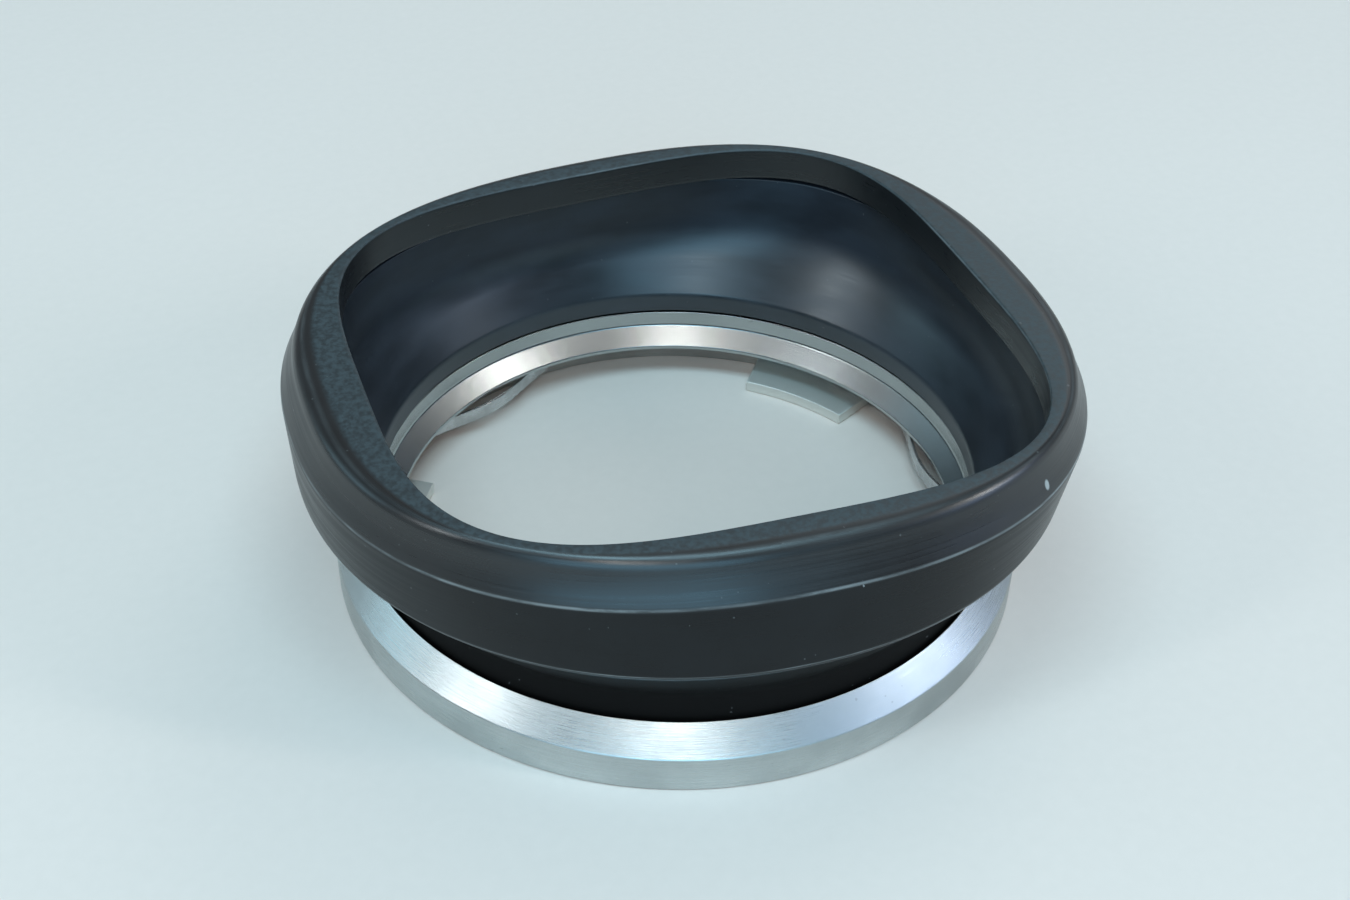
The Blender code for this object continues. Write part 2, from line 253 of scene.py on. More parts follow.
def loft(name, corners, body, replaced):
    """A tube skinned through a closed section of outlines, with the distance along the section kept on its
    points for the fine lines and the bright edge lines of rubbed paint and painted highlight. Returns the
    object and its marks in metres."""
    stations, marks = stations_of(corners)
    points = np.concatenate(stations)
    distance = [0.0]
    for first, second in zip(stations, stations[1:]):
        distance.append(distance[-1] + section_length(first, second))
    count = len(stations)
    faces = []
    for index in range(count):
        following = (index + 1) % count
        for step in range(SEGMENTS):
            after = (step + 1) % SEGMENTS
            faces.append(
                (
                    index * SEGMENTS + step,
                    index * SEGMENTS + after,
                    following * SEGMENTS + after,
                    following * SEGMENTS + step,
                )
            )
    mesh = bpy.data.meshes.new(name)
    mesh.from_pydata(points.tolist(), [], faces)
    along = np.repeat(distance, SEGMENTS)
    radius = np.maximum(np.hypot(points[:, 0], points[:, 1]), 1e-6)
    grain = np.stack([points[:, 0] / radius, points[:, 1] / radius, along / GRAIN_LENGTH], axis=1)
    mesh.attributes.new("along", "FLOAT", "POINT").data.foreach_set("value", along.astype(np.float32))
    mesh.attributes.new("grain", "FLOAT_VECTOR", "POINT").data.foreach_set(
        "vector", grain.astype(np.float32).ravel()
    )
    bm = bmesh.new()
    bm.from_mesh(mesh)
    bmesh.ops.recalc_face_normals(bm, faces=bm.faces)
    bm.to_mesh(mesh)
    bm.free()
    obj = add_object(name, mesh, body, replaced)
    return obj, {mark: distance[index] for mark, index in marks.items()}


def mesh_of(name, bm, bevel=0.0):
    """Turns bm into a mesh, with its sharp edges bevelled first if asked."""
    bmesh.ops.recalc_face_normals(bm, faces=bm.faces)
    if bevel:
        sharp = [edge for edge in bm.edges if edge.calc_face_angle(0) > BEVEL_FROM]
        bmesh.ops.bevel(
            bm, geom=sharp, offset=bevel, segments=3, profile=0.5, affect="EDGES", clamp_overlap=True
        )
    mesh = bpy.data.meshes.new(name)
    bm.to_mesh(mesh)
    bm.free()
    return mesh


def arc_block(inner, outer, low, high, middle, span, steps):
    """A block bent round the axis. inner and outer give its radius at each fraction of its span."""
    bm = bmesh.new()
    sections = []
    for step in range(steps + 1):
        share = step / steps
        angle = math.radians(middle + span * (share - 0.5))
        across, along = math.cos(angle), math.sin(angle)
        corners = ((inner(share), low), (outer(share), low), (outer(share), high), (inner(share), high))
        sections.append([bm.verts.new((radius * across, radius * along, z)) for radius, z in corners])
    for here, following in zip(sections, sections[1:]):
        for side in range(4):
            after = (side + 1) % 4
            bm.faces.new((here[side], here[after], following[after], following[side]))
    bm.faces.new(sections[0])
    bm.faces.new(sections[-1])
    return bm


def turned(profile, sides=HOLE_SIDES):
    """A solid turned round its own Z axis from a profile of (radius, z) that starts and ends on the axis."""
    bm = bmesh.new()
    points = [bm.verts.new((radius, 0, z)) for radius, z in profile]
    edges = [bm.edges.new(pair) for pair in zip(points, points[1:])]
    bmesh.ops.spin(
        bm, geom=points + edges, cent=(0, 0, 0), axis=(0, 0, 1), angle=math.tau, steps=sides, use_merge=True
    )
    bmesh.ops.remove_doubles(bm, verts=bm.verts, dist=0.001 * MM)
    return bm


def rod(radius, low, high):
    """A plain cylinder between two heights on its own axis."""
    return turned([(0, low), (radius, low), (radius, high), (0, high)])


def outwards(angle, radius, z):
    """Where a turned piece goes so that its Z axis points away from the optical axis."""
    radians = math.radians(angle)
    place = Matrix.Translation((radius * math.cos(radians), radius * math.sin(radians), z))
    return place @ Matrix.Rotation(radians, 4, "Z") @ Matrix.Rotation(math.pi / 2, 4, "Y")


def cut(target, bm, place=None, operation="DIFFERENCE", bevel=0.0):
    """Cuts bm out of target's mesh, or joins it on with operation UNION."""
    if place:
        bm.transform(place)
    cutter = bpy.data.objects.new("cutter", mesh_of("cutter", bm, bevel))
    scene.collection.objects.link(cutter)
    modifier = target.modifiers.new("cut", "BOOLEAN")
    modifier.operation = operation
    modifier.solver = "EXACT"
    modifier.object = cutter
    graph = bpy.context.evaluated_depsgraph_get()
    result = bpy.data.meshes.new_from_object(target.evaluated_get(graph), depsgraph=graph)
    target.modifiers.remove(modifier)
    old = target.data
    target.data = result
    bpy.data.meshes.remove(old)
    spare = cutter.data
    bpy.data.objects.remove(cutter)
    bpy.data.meshes.remove(spare)


# ---------------------------------------------------------------- materials

class Tree:
    """A material's node tree, with short calls for the nodes used here."""

    def __init__(self, name):
        self.material = bpy.data.materials.new(name)
        self.material.use_nodes = True
        self.nodes = self.material.node_tree.nodes
        self.shader = self.nodes["Principled BSDF"]

    def link(self, output, socket):
        self.material.node_tree.links.new(output, socket)

    def put(self, value, socket):
        if isinstance(value, bpy.types.NodeSocket):
            self.link(value, socket)
        else:
            socket.default_value = value

    def set(self, **values):
        for name, value in values.items():
            self.put(value, self.shader.inputs[name.replace("_", " ")])

    def attribute(self, name, output):
        node = self.nodes.new("ShaderNodeAttribute")
        node.attribute_name = name
        return node.outputs[output]

    def position(self):
        return self.nodes.new("ShaderNodeTexCoord").outputs["Object"]

    def height(self, place):
        node = self.nodes.new("ShaderNodeSeparateXYZ")
        self.link(place, node.inputs[0])
        return node.outputs["Z"]

    def distance_from_axis(self, place):
        node = self.nodes.new("ShaderNodeVectorMath")
        node.operation = "LENGTH"
        self.link(self.stretch(place, (1, 1, 0)), node.inputs[0])
        return node.outputs["Value"]

    def distance(self, place, point):
        node = self.nodes.new("ShaderNodeVectorMath")
        node.operation = "DISTANCE"
        self.link(place, node.inputs[0])
        node.inputs[1].default_value = point
        return node.outputs["Value"]

    def math(self, operation, first, second=0.0):
        node = self.nodes.new("ShaderNodeMath")
        node.operation = operation
        self.put(first, node.inputs[0])
        self.put(second, node.inputs[1])
        return node.outputs[0]

    def stretch(self, vector, scale):
        node = self.nodes.new("ShaderNodeVectorMath")
        node.operation = "MULTIPLY"
        self.link(vector, node.inputs[0])
        node.inputs[1].default_value = scale
        return node.outputs[0]

    def noise(self, vector, scale, detail=3.0, roughness=0.55):
        node = self.nodes.new("ShaderNodeTexNoise")
        self.link(vector, node.inputs["Vector"])
        node.inputs["Scale"].default_value = scale
        node.inputs["Detail"].default_value = detail
        node.inputs["Roughness"].default_value = roughness
        return node.outputs["Fac"]

    def ramp(self, value, low, high, start=0.0, end=1.0):
        """Runs smoothly from start to end as value goes from low to high."""
        node = self.nodes.new("ShaderNodeMapRange")
        node.interpolation_type = "SMOOTHSTEP"
        self.link(value, node.inputs["Value"])
        for socket, number in zip(("From Min", "From Max", "To Min", "To Max"), (low, high, start, end)):
            node.inputs[socket].default_value = number
        return node.outputs["Result"]

    def mix(self, share, first, second):
        """Colour between first and second."""
        node = self.nodes.new("ShaderNodeMix")
        node.data_type = "RGBA"
        self.put(share, node.inputs["Factor"])
        for value, socket in ((first, node.inputs[6]), (second, node.inputs[7])):
            self.put((*value, 1.0) if isinstance(value, tuple) else value, socket)
        return node.outputs[2]

    def blend(self, share, first, second):
        """Number between first and second."""
        node = self.nodes.new("ShaderNodeMix")
        node.data_type = "FLOAT"
        self.put(share, node.inputs["Factor"])
        self.put(first, node.inputs[2])
        self.put(second, node.inputs[3])
        return node.outputs[0]

    def bump(self, height, distance):
        node = self.nodes.new("ShaderNodeBump")
        node.inputs["Strength"].default_value = 1.0
        node.inputs["Distance"].default_value = distance
        self.link(height, node.inputs["Height"])
        return node.outputs["Normal"]

    def turning_tangent(self):
        node = self.nodes.new("ShaderNodeTangent")
        node.direction_type = "RADIAL"
        node.axis = "Z"
        return node.outputs[0]

    def near(self, along, place, width, softness):
        """1 within width of a place along the section, falling to 0 over softness."""
        away = self.math("ABSOLUTE", self.math("SUBTRACT", along, place))
        return self.ramp(away, width, width + softness, 1.0, 0.0)


def enamel_material(marks):
    """Satin black enamel over aluminium: fine turning marks, a matt lip, thin bright edge lines that are
    rubbed-through paint and painted highlights together, and a neck painted darker as shade.
    """
    tree = Tree("worn_black_enamel")
    along, grain, place = tree.attribute("along", "Fac"), tree.attribute("grain", "Vector"), tree.position()
    lines = tree.noise(tree.stretch(grain, (3, 3, 420)), 1.0, 2.0)
    coarse_lines = tree.noise(tree.stretch(grain, (1.5, 1.5, 130)), 1.0, 3.0)
    patches = tree.noise(place, 130, 5.0)
    pebbles = tree.noise(place, 2600, 2.0, 0.6)
    specks = tree.ramp(tree.noise(place, 1900, 1.0), 0.775, 0.80)

    lip = tree.math(
        "MULTIPLY",
        tree.ramp(along, marks["crest"] + 0.5 * MM, marks["crest"] + 1.1 * MM),
        tree.ramp(along, marks["mouth"] - 0.05 * MM, marks["mouth"] + 0.1 * MM, 1.0, 0.0),
    )
    # Painted shade: the neck below the band gets a darker, slightly warm black with little reflection, for
    # the shade under the band.
    neck = tree.ramp(along, marks["band"] - 0.9 * MM, marks["band"] - 0.2 * MM, 1.0, 0.0)
    ragged = tree.noise(tree.stretch(grain, (7, 7, 40)), 1.0, 4.0, 0.65)
    wide = tree.noise(tree.stretch(grain, (1.6, 1.6, 0)), 1.0, 2.0)
    # Bright lines on the crease, band, crest and mouth: paint rubbed through to bluish bare metal, and also a
    # painted highlight along each edge.
    bare_metal_and_highlight = (0.50, 0.56, 0.58)
    wear_and_highlight = None
    for mark, width, softness, least, most in (
        ("crease", 0.02, 0.14, 0.06, 0.52),
        ("band", 0.01, 0.09, 0.08, 0.40),
        ("crest", 0.02, 0.30, 0.02, 0.10),
        ("mouth", 0.0, 0.12, 0.04, 0.26),
    ):
        line = tree.near(along, marks[mark], width * MM, softness * MM)
        strength = tree.math("MULTIPLY", tree.ramp(ragged, 0.32, 0.66), tree.ramp(wide, 0.36, 0.58, 0.3, 1.0))
        rubbed_and_highlit_edge = tree.math("MULTIPLY", line, tree.blend(strength, least, most))
        wear_and_highlight = rubbed_and_highlit_edge if wear_and_highlight is None else tree.math("MAXIMUM", wear_and_highlight, rubbed_and_highlit_edge)
    nicks = tree.ramp(tree.noise(place, 900, 2.0), 0.74, 0.77)
    near_edge = tree.near(along, marks["crease"], 0.1 * MM, 0.8 * MM)
    wear_and_highlight = tree.math("MAXIMUM", wear_and_highlight, tree.math("MULTIPLY", nicks, tree.math("MULTIPLY", near_edge, 0.4)))

    chip = tree.ramp(tree.distance(tree.stretch(place, CHIP_SHAPE), CHIP), CHIP_CORE, CHIP_EDGE, 0.85, 0.0)
    wear_and_highlight = tree.math("MAXIMUM", wear_and_highlight, chip)

    black = tree.mix(tree.ramp(patches, 0.35, 0.7), (0.0062, 0.0066, 0.0072), (0.0088, 0.0098, 0.0108))
    matt = tree.mix(tree.ramp(pebbles, 0.3, 0.7), (0.011, 0.020, 0.024), (0.028, 0.046, 0.054))
    black = tree.mix(lip, black, matt)
    # Painted shade on the neck.
    black = tree.mix(neck, black, (0.0045, 0.0042, 0.0042))
    black = tree.mix(tree.math("MULTIPLY", specks, 0.35), black, (0.16, 0.17, 0.17))
    tree.set(Base_Color=tree.mix(wear_and_highlight, black, bare_metal_and_highlight), Metallic=tree.math("MULTIPLY", wear_and_highlight, 0.9))

    rough = tree.ramp(patches, 0.3, 0.75, 0.29, 0.37)
    rough = tree.math("ADD", rough, tree.ramp(coarse_lines, 0.3, 0.7, -0.05, 0.06))
    rough = tree.blend(lip, rough, tree.ramp(pebbles, 0.3, 0.7, 0.48, 0.62))
    rough = tree.blend(neck, rough, 0.62)
    bevel = tree.ramp(along, marks["crease"] - 0.3 * MM, marks["crease"] + 0.1 * MM)
    sheen = tree.blend(bevel, 0.26, 0.72)
    tree.set(Roughness=tree.blend(wear_and_highlight, rough, 0.30), Specular_IOR_Level=tree.blend(neck, sheen, 0.08))
    tree.shader.inputs["Specular Tint"].default_value = (0.95, 0.98, 1.0, 1.0)

    plain = tree.math("SUBTRACT", 1.0, lip)
    turning = tree.math("ADD", tree.math("MULTIPLY", lines, 0.5), coarse_lines)
    height = tree.math("MULTIPLY", turning, tree.math("MULTIPLY", plain, 0.22))
    height = tree.math("ADD", height, tree.math("MULTIPLY", tree.math("MULTIPLY", pebbles, lip), 1.6))
    height = tree.math("ADD", height, tree.math("MULTIPLY", wear_and_highlight, -0.4))
    tree.set(Normal=tree.bump(height, 0.012 * MM))
    return tree.material


def lacquer_material(marks):
    """Smooth black lacquer of the funnel, with faint turning marks and a thin film of dust."""
    tree = Tree("black_lacquer")
    along, grain, place = tree.attribute("along", "Fac"), tree.attribute("grain", "Vector"), tree.position()
    flare = tree.ramp(along, marks["belly"] - 1.2 * MM, marks["belly"] + 0.4 * MM)
    lines = tree.noise(tree.stretch(grain, (4, 4, 420)), 1.0, 2.0)
    patches = tree.noise(tree.stretch(grain, (3, 3, 9)), 1.0, 4.0)
    specks = tree.ramp(tree.noise(place, 1900, 1.0), 0.78, 0.81)
    black = tree.mix(tree.ramp(patches, 0.3, 0.7), (0.009, 0.012, 0.017), (0.017, 0.023, 0.033))
    tree.set(Base_Color=tree.mix(tree.math("MULTIPLY", specks, 0.3), black, (0.15, 0.16, 0.17)))
    rough = tree.ramp(patches, 0.3, 0.7, 0.31, 0.38)
    rough = tree.math("ADD", rough, tree.ramp(lines, 0.3, 0.7, -0.02, 0.03))
    tree.set(Roughness=rough, Specular_IOR_Level=tree.blend(flare, 0.40, 0.95))
    tree.shader.inputs["Specular Tint"].default_value = (0.86, 0.95, 1.0, 1.0)
    tree.set(Normal=tree.bump(lines, 0.0008 * MM))
    return tree.material


def turned_metal_material(marks):
    """Bright aluminium with fine lines left by the lathe, which draw each light out into a radial streak.
    The bore is painted darker, as painted shade inside the ring, and streaked further, and the milled lugs
    are plain, their lighter colour a painted highlight."""
    tree = Tree("turned_aluminium")
    along, grain, place = tree.attribute("along", "Fac"), tree.attribute("grain", "Vector"), tree.position()
    lug = tree.math(
        "MULTIPLY",
        tree.ramp(tree.height(place), LUG_THICKNESS, LUG_THICKNESS + 0.05 * MM, 1.0, 0.0),
        tree.ramp(tree.distance_from_axis(place), RECESS_RADIUS - 0.1 * MM, RECESS_RADIUS, 1.0, 0.0),
    )
    bore = tree.math(
        "MULTIPLY",
        tree.ramp(along, marks["bore_top"], marks["bore_top"] + 0.1 * MM),
        tree.ramp(along, marks["bore_end"] - 0.1 * MM, marks["bore_end"], 1.0, 0.0),
    )
    fine = tree.noise(tree.stretch(grain, (8, 8, 1500)), 1.0, 2.0)
    coarse = tree.noise(tree.stretch(grain, (3, 3, 260)), 1.0, 3.0)
    patches = tree.noise(place, 110, 5.0)
    pits = tree.ramp(tree.noise(place, 2100, 1.0), 0.77, 0.80)
    light, dark = (0.61, 0.645, 0.645), (0.45, 0.48, 0.48)
    colour = tree.mix(tree.ramp(patches, 0.3, 0.72), light, dark)
    colour = tree.mix(tree.ramp(coarse, 0.35, 0.7, 0.0, 0.35), colour, dark)
    # Painted shade: the bore inside the ring is mixed towards a darker grey.
    colour = tree.mix(tree.math("MULTIPLY", bore, 0.6), colour, (0.40, 0.42, 0.42))
    # Painted highlight: the lugs are given a lighter, near-white colour.
    colour = tree.mix(lug, colour, (0.80, 0.81, 0.78))
    colour = tree.mix(tree.math("MULTIPLY", pits, 0.4), colour, (0.22, 0.21, 0.20))
    tree.set(Base_Color=colour, Metallic=1.0)
    rough = tree.ramp(patches, 0.3, 0.72, 0.25, 0.33)
    rough = tree.math("ADD", rough, tree.ramp(fine, 0.3, 0.7, -0.04, 0.05))
    rough = tree.blend(lug, tree.blend(bore, rough, 0.22), 0.58)
    tree.set(Roughness=rough, Tangent=tree.turning_tangent())
    tree.set(Anisotropic=tree.blend(lug, tree.blend(bore, 0.90, 0.95), 0.0))
    height = tree.math("ADD", tree.math("MULTIPLY", fine, 0.6), coarse)
    tree.set(Normal=tree.bump(height, 0.0022 * MM))
    return tree.material


def sheet_metal_material(name, light, dark, roughness):
    """Rolled or plated metal of the small parts, with a soft cloud of tarnish and fine scratches."""
    tree = Tree(name)
    place = tree.position()
    patches = tree.noise(place, 500, 4.0)
    scratches = tree.noise(tree.stretch(place, (900, 900, 9000)), 1.0, 2.0)
    tree.set(Base_Color=tree.mix(tree.ramp(patches, 0.3, 0.7), light, dark), Metallic=1.0)
    rough = tree.ramp(patches, 0.3, 0.7, roughness - 0.05, roughness + 0.08)
    rough = tree.math("ADD", rough, tree.ramp(scratches, 0.3, 0.7, -0.04, 0.04))
    tree.set(Roughness=rough, Normal=tree.bump(scratches, 0.003 * MM))
    return tree.material


# ---------------------------------------------------------------- pieces

def make_shell():
    """Black head: neck, band, slightly hollow bevel up to the crest, and the flat front lip."""
    lip_underside = LIP_Z - LIP_THICKNESS
    inner_neck = NECK_RADIUS - NECK_WALL
    corners = [
        circle(NECK_RADIUS, NECK_BOTTOM),
        circle(NECK_RADIUS, NECK_TOP, NECK_ROUNDING),
        shaped(BAND, BAND_Z, SOFT_EDGE, mark="band"),
        shaped(CREASE, CREASE_Z, SOFT_EDGE, mark="crease"),
        shaped(BEVEL_HOLLOW, BEVEL_HOLLOW_Z, BEVEL_HOLLOW_ROUNDING),
        shaped(CREST, LIP_Z, CREST_ROUNDING, mark="crest"),
        shaped(MOUTH, LIP_Z, SOFT_EDGE, mark="mouth"),
        shaped(MOUTH, lip_underside, SOFT_EDGE),
        shaped(ROOF, lip_underside),
        shaped(CREASE, CREASE_Z, inset=SHELL_WALL),
        shaped(BAND, BAND_Z + SHELL_WALL / 2, inset=SHELL_WALL),
        circle(inner_neck, NECK_TOP + NECK_INSIDE_RISE),
        circle(inner_neck, NECK_BOTTOM),
    ]
    shell, marks = loft("head_shell", corners, "hood", "hood_shell")
    keep_smooth(shell, HEAD_SHARP_FROM)
    shell.data.materials.append(enamel_material(marks))


def make_funnel():
    """Black inner funnel: a round foot on the collar, a flare, and a wall up to the back of the lip."""
    top = LIP_Z - LIP_THICKNESS - GAP
    corners = [
        circle(FUNNEL_FOOT_RADIUS + FUNNEL_WALL, COLLAR_TOP + GAP),
        circle(FUNNEL_FOOT_RADIUS + FUNNEL_WALL, FUNNEL_FOOT_TOP, SOFT_EDGE),
        shaped(FUNNEL_BELLY, FUNNEL_BELLY_Z, BELLY_ROUNDING, inset=-FUNNEL_WALL),
        shaped(FUNNEL_MOUTH, top, inset=-FUNNEL_WALL),
        shaped(FUNNEL_MOUTH, top, CRISP_EDGE),
        shaped(FUNNEL_BELLY, FUNNEL_BELLY_Z, BELLY_ROUNDING, mark="belly"),
        circle(FUNNEL_FOOT_RADIUS, FUNNEL_FOOT_TOP, SOFT_EDGE),
        circle(FUNNEL_FOOT_RADIUS, COLLAR_TOP + GAP, CRISP_EDGE),
    ]
    funnel, marks = loft("funnel", corners, "hood", "inner_funnel")
    keep_smooth(funnel, HEAD_SHARP_FROM)
    funnel.data.materials.append(lacquer_material(marks))


def lug_angle(index):
    return LUG_FIRST_ANGLE + 360.0 / LUG_COUNT * index


def seat_middle(index):
    """Angle of the middle of a spring's riveted seat, which is also its hinge."""
    return lug_angle(index) - SPRING_FROM_LUG - SPRING_SEAT_SPAN / 2


def rivet_angles(index):
    return [seat_middle(index) + side * RIVET_SPACING / 2 for side in (1, -1)]


def spring_middle_z():
    return (SPRING_LOW + SPRING_HIGH) / 2


def stop_pin_place():
    radians = math.radians(STOP_PIN_ANGLE)
    x, y = STOP_PIN_FROM_AXIS * math.cos(radians), STOP_PIN_FROM_AXIS * math.sin(radians)
    return Matrix.Translation((x, y, 0))


def make_ring():
    """Bright turned ring with a bevel, a threaded collar, a counterbore and three inward lugs."""
    channel_outside = NECK_RADIUS + GAP
    corners = [
        circle(COLLAR_OUTSIDE, CHANNEL_FLOOR),
        circle(COLLAR_OUTSIDE, COLLAR_TOP, CRISP_EDGE),
        circle(COLLAR_BORE_RADIUS, COLLAR_TOP, CRISP_EDGE, mark="bore_top"),
        circle(COLLAR_BORE_RADIUS, CHAMFER_HIGH, INSIDE_ROUNDING),
        circle(BORE_RADIUS, CHAMFER_LOW, CHAMFER_EDGE),
        circle(BORE_RADIUS, RECESS_ROOF, RECESS_EDGE, mark="bore_end"),
        circle(RECESS_RADIUS, RECESS_ROOF, RECESS_EDGE),
        circle(RECESS_RADIUS, 0, INSIDE_ROUNDING),
        circle(RING_RADIUS, 0, RIM_ROUNDING),
        circle(RING_RADIUS, RING_WALL_HEIGHT, CRISP_EDGE),
        circle(channel_outside, RING_TOP, CHAMFER_EDGE),
        circle(channel_outside, CHANNEL_FLOOR),
    ]
    ring, marks = loft("mounting_ring", corners, "hood", "bayonet_ring")
    ring.data.materials.append(turned_metal_material(marks))
    for index in range(LUG_COUNT):
        lug = arc_block(
            lambda share: LUG_RADIUS,
            lambda share: RECESS_RADIUS + LUG_ROOT,
            LUG_LOW,
            LUG_THICKNESS,
            lug_angle(index),
            LUG_SPAN,
            LUG_STEPS,
        )
        cut(ring, lug, None, "UNION", LUG_EDGE)
        for angle in rivet_angles(index):
            hole = rod(RIVET_SHANK + RING_HOLE_FIT, -HOLE_START, RIVET_DEPTH + GAP)
            cut(ring, hole, outwards(angle, RECESS_RADIUS, spring_middle_z()))
    pin_hole = rod(STOP_PIN_RADIUS + RING_HOLE_FIT, RECESS_ROOF - MM, STOP_PIN_HIGH + STOP_PIN_HOLE_END)
    cut(ring, pin_hole, stop_pin_place())
    screw_hole = rod(SET_SCREW_RADIUS + SCREW_HOLE_FIT, -HOLE_START, COLLAR_OUTSIDE - BORE_RADIUS + GAP)
    cut(ring, screw_hole, outwards(SET_SCREW_ANGLE, BORE_RADIUS, SET_SCREW_Z))
    keep_smooth(ring, RING_SHARP_FROM)


def make_spring(index, material):
    """Spring steel leaf: a riveted seat against the wall, then a bow that presses on the camera."""
    span = SPRING_SEAT_SPAN + SPRING_BOW_SPAN
    bow_share = SPRING_BOW_SPAN / span

    def middle_radius(share):
        along = max(0.0, 1 - share / bow_share)
        return SPRING_SEAT_RADIUS - SPRING_BOW * math.sin(math.pi * SPRING_WAVE * along) ** 2

    leaf = arc_block(
        lambda share: middle_radius(share) - SPRING_THICKNESS / 2,
        lambda share: middle_radius(share) + SPRING_THICKNESS / 2,
        SPRING_LOW,
        SPRING_HIGH,
        lug_angle(index) - SPRING_FROM_LUG - span / 2,
        span,
        LEAF_STEPS,
    )
    node = f"leaf_spring_{index + 1}"
    obj = add_object(f"leaf_{index + 1}", mesh_of(node, leaf, LEAF_EDGE), f"spring_{index + 1}", node)
    obj.data.materials.append(material)
    for angle in rivet_angles(index):
        hole = rod(RIVET_SHANK + LEAF_HOLE_FIT, -MM, MM)
        cut(obj, hole, outwards(angle, SPRING_SEAT_RADIUS, spring_middle_z()))
    keep_smooth(obj, LEAF_SHARP_FROM)


def make_small_part(name, profile, place, material, node):
    """A small turned piece of the hood body, put in its place."""
    bm = turned(profile, SMALL_SIDES)
    bm.transform(place)
    obj = add_object(name, mesh_of(name, bm), "hood", node)
    obj.data.materials.append(material)
    return obj


def make_rivet(index, side, angle, material):
    """Round-headed rivet that holds a leaf's seat to the ring, with its head inside."""
    underside = -SPRING_THICKNESS / 2 - RIVET_HEAD_GAP
    tip = RECESS_RADIUS + RIVET_DEPTH - SPRING_SEAT_RADIUS
    dome_foot, dome_height = underside - RIVET_EDGE, RIVET_HEAD_HEIGHT - RIVET_EDGE
    profile = [(0, dome_foot - dome_height)]
    for step in range(1, DOME_STEPS + 1):
        turn = math.pi / 2 * step / DOME_STEPS
        profile.append((RIVET_HEAD * math.sin(turn), dome_foot - dome_height * math.cos(turn)))
    profile += [(RIVET_HEAD, underside), (RIVET_SHANK, underside), (RIVET_SHANK, tip), (0, tip)]
    place = outwards(angle, SPRING_SEAT_RADIUS, spring_middle_z())
    label = f"{index + 1}{side}"
    obj = make_small_part(f"rivet_{label}", profile, place, material, f"spring_rivet_{label}")
    keep_smooth(obj, SMALL_SHARP_FROM)


def make_stop_pin(material):
    """Pin in the counterbore's roof that stops the bayonet's turn with the mouth level."""
    tip = STOP_PIN_TIP
    profile = [
        (0, STOP_PIN_LOW),
        (STOP_PIN_RADIUS - tip, STOP_PIN_LOW),
        (STOP_PIN_RADIUS - tip * 0.3, STOP_PIN_LOW + tip * 0.3),
        (STOP_PIN_RADIUS, STOP_PIN_LOW + tip),
        (STOP_PIN_RADIUS, STOP_PIN_HIGH),
        (0, STOP_PIN_HIGH),
    ]
    obj = make_small_part("stop_pin_turned", profile, stop_pin_place(), material, "stop_pin")
    keep_smooth(obj, SMALL_SHARP_FROM)


def make_set_screw(material):
    """Headless slotted screw that locks the neck on the collar once the mouth is squared up."""
    length = SET_SCREW_OUTER - SET_SCREW_INNER
    profile = [
        (0, 0),
        (SET_SCREW_RADIUS - SCREW_EDGE, 0),
        (SET_SCREW_RADIUS, SCREW_EDGE),
        (SET_SCREW_RADIUS, length - SET_SCREW_POINT),
        (SET_SCREW_RADIUS - SET_SCREW_POINT, length),
        (0, length),
    ]
    place = outwards(SET_SCREW_ANGLE, SET_SCREW_INNER, SET_SCREW_Z)
    obj = make_small_part("set_screw_slotted", profile, place, material, "neck_set_screw")
    slot = bmesh.new()
    bmesh.ops.create_cube(slot, size=1)
    slot_size = (SET_SCREW_SLOT, 4 * SET_SCREW_RADIUS, 2 * SET_SCREW_SLOT_DEPTH)
    bmesh.ops.scale(slot, vec=slot_size, verts=slot.verts)
    cut(obj, slot, place)
    keep_smooth(obj, SMALL_SHARP_FROM)


# ---------------------------------------------------------------- studio

def facing_camera(azimuth, elevation):
    """Unit vector at an azimuth counted from the camera's, positive to its right, and an elevation."""
    a, e = math.radians(CAMERA_AZIMUTH + azimuth), math.radians(elevation)
    return Vector((math.cos(e) * math.cos(a), math.cos(e) * math.sin(a), math.sin(e)))


def make_softbox(name, azimuth, elevation, distance, size, radiance, colour):
    """Rectangular light aimed at the origin, with the same radiance whatever its size."""
    light = bpy.data.lights.new(name, "AREA")
    light.shape = "RECTANGLE"
    light.size, light.size_y = size
    light.energy = radiance * math.pi * size[0] * size[1]
    light.color = colour
    obj = bpy.data.objects.new(name, light)
    scene.collection.objects.link(obj)
    direction = facing_camera(azimuth, elevation)
    obj.location = direction * distance
    obj.rotation_mode = "QUATERNION"
    obj.rotation_quaternion = direction.to_track_quat("Z", "Y")


def make_floor():
    bm = bmesh.new()
    bmesh.ops.create_circle(bm, cap_ends=True, segments=96, radius=FLOOR_RADIUS)
    mesh = bpy.data.meshes.new("floor")
    bm.to_mesh(mesh)
    bm.free()
    floor = bpy.data.objects.new("floor", mesh)
    floor.location.z = -FLOOR_GAP
    scene.collection.objects.link(floor)
    tree = Tree("floor_paper")
    grain = tree.noise(tree.position(), 900, 3.0)
    tree.set(Base_Color=tree.mix(grain, (0.76, 0.69, 0.64), (0.80, 0.725, 0.675)), Roughness=0.85)
    tree.set(Normal=tree.bump(grain, 0.01 * MM))
    mesh.materials.append(tree.material)


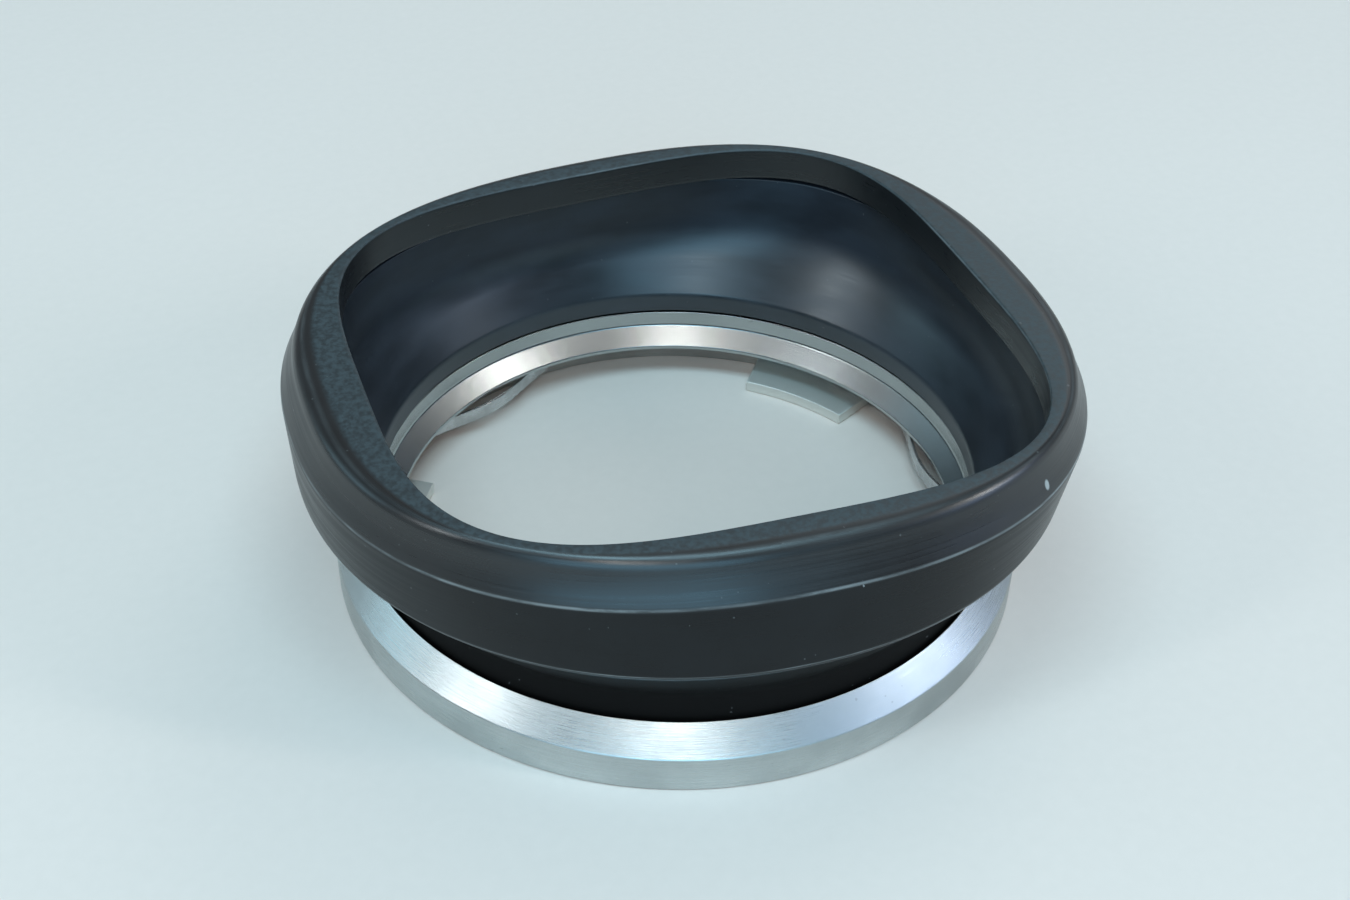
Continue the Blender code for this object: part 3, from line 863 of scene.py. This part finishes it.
def make_studio():
    make_floor()
    world = bpy.data.worlds.new("studio")
    scene.world = world
    world.use_nodes = True
    background = world.node_tree.nodes["Background"]
    background.inputs["Color"].default_value = (0.88, 0.95, 1.0, 1.0)
    background.inputs["Strength"].default_value = 0.22
    cool, warm = (0.92, 0.97, 1.0), (1.0, 0.97, 0.93)
    window, cyan, violet = (0.36, 0.74, 1.0), (0.50, 0.84, 1.0), (0.42, 0.62, 1.0)
    make_softbox("front_box", 1, 41, 0.60, (0.045, 0.20), 16.0, warm)
    make_softbox("left_box", -60, 30, 0.60, (0.06, 0.22), 10.5, cool)
    make_softbox("right_box", 77, 29, 0.60, (0.05, 0.22), 16.0, warm)
    make_softbox("low_window", 2, 18, 0.90, (0.80, 0.44), 2.7, window)
    make_softbox("crest_window", -10, 75, 0.90, (0.90, 0.28), 6.2, cyan)
    make_softbox("back_box", 152, 40, 0.90, (0.50, 0.40), 1.7, cool)
    make_softbox("left_fill", -98, 19, 0.90, (0.44, 0.28), 1.7, cyan)
    make_softbox("right_fill", 76, 17, 0.90, (0.40, 0.26), 2.8, violet)
    make_softbox("top_box", 180, 78, 0.90, (0.9, 0.9), 0.30, warm)
    scene.view_settings.view_transform = "Standard"


def make_camera():
    data = bpy.data.cameras.new("camera")
    data.sensor_width = SENSOR_WIDTH
    data.lens = SENSOR_WIDTH * FOCAL / FRAME_WIDTH
    data.clip_start, data.clip_end = 1 * MM, 20.0
    camera = bpy.data.objects.new("camera", data)
    scene.collection.objects.link(camera)
    back = facing_camera(0, CAMERA_ELEVATION)
    camera.location = back * CAMERA_DISTANCE
    forward = -back
    right = forward.cross(Vector((0, 0, 1))).normalized()
    up = right.cross(forward)
    yaw = Quaternion(up, math.radians(CAMERA_YAW))
    forward, right = yaw @ forward, yaw @ right
    pitch = Quaternion(right, math.radians(CAMERA_PITCH))
    forward, up = pitch @ forward, pitch @ up
    roll = Quaternion(forward, math.radians(CAMERA_ROLL))
    right, up = roll @ right, roll @ up
    camera.rotation_mode = "QUATERNION"
    camera.rotation_quaternion = Matrix((right, up, -forward)).transposed().to_quaternion()
    scene.camera = camera


def main():
    steel = sheet_metal_material("rolled_spring_steel", (0.60, 0.61, 0.62), (0.44, 0.44, 0.44), 0.28)
    nickel = sheet_metal_material("nickel_plate", (0.72, 0.70, 0.65), (0.55, 0.52, 0.47), 0.26)
    make_shell()
    make_funnel()
    make_ring()
    for index in range(LUG_COUNT):
        make_spring(index, steel)
        for side, angle in zip("ab", rivet_angles(index)):
            make_rivet(index, side, angle, nickel)
    make_stop_pin(steel)
    make_set_screw(steel)
    make_studio()
    make_camera()


main()
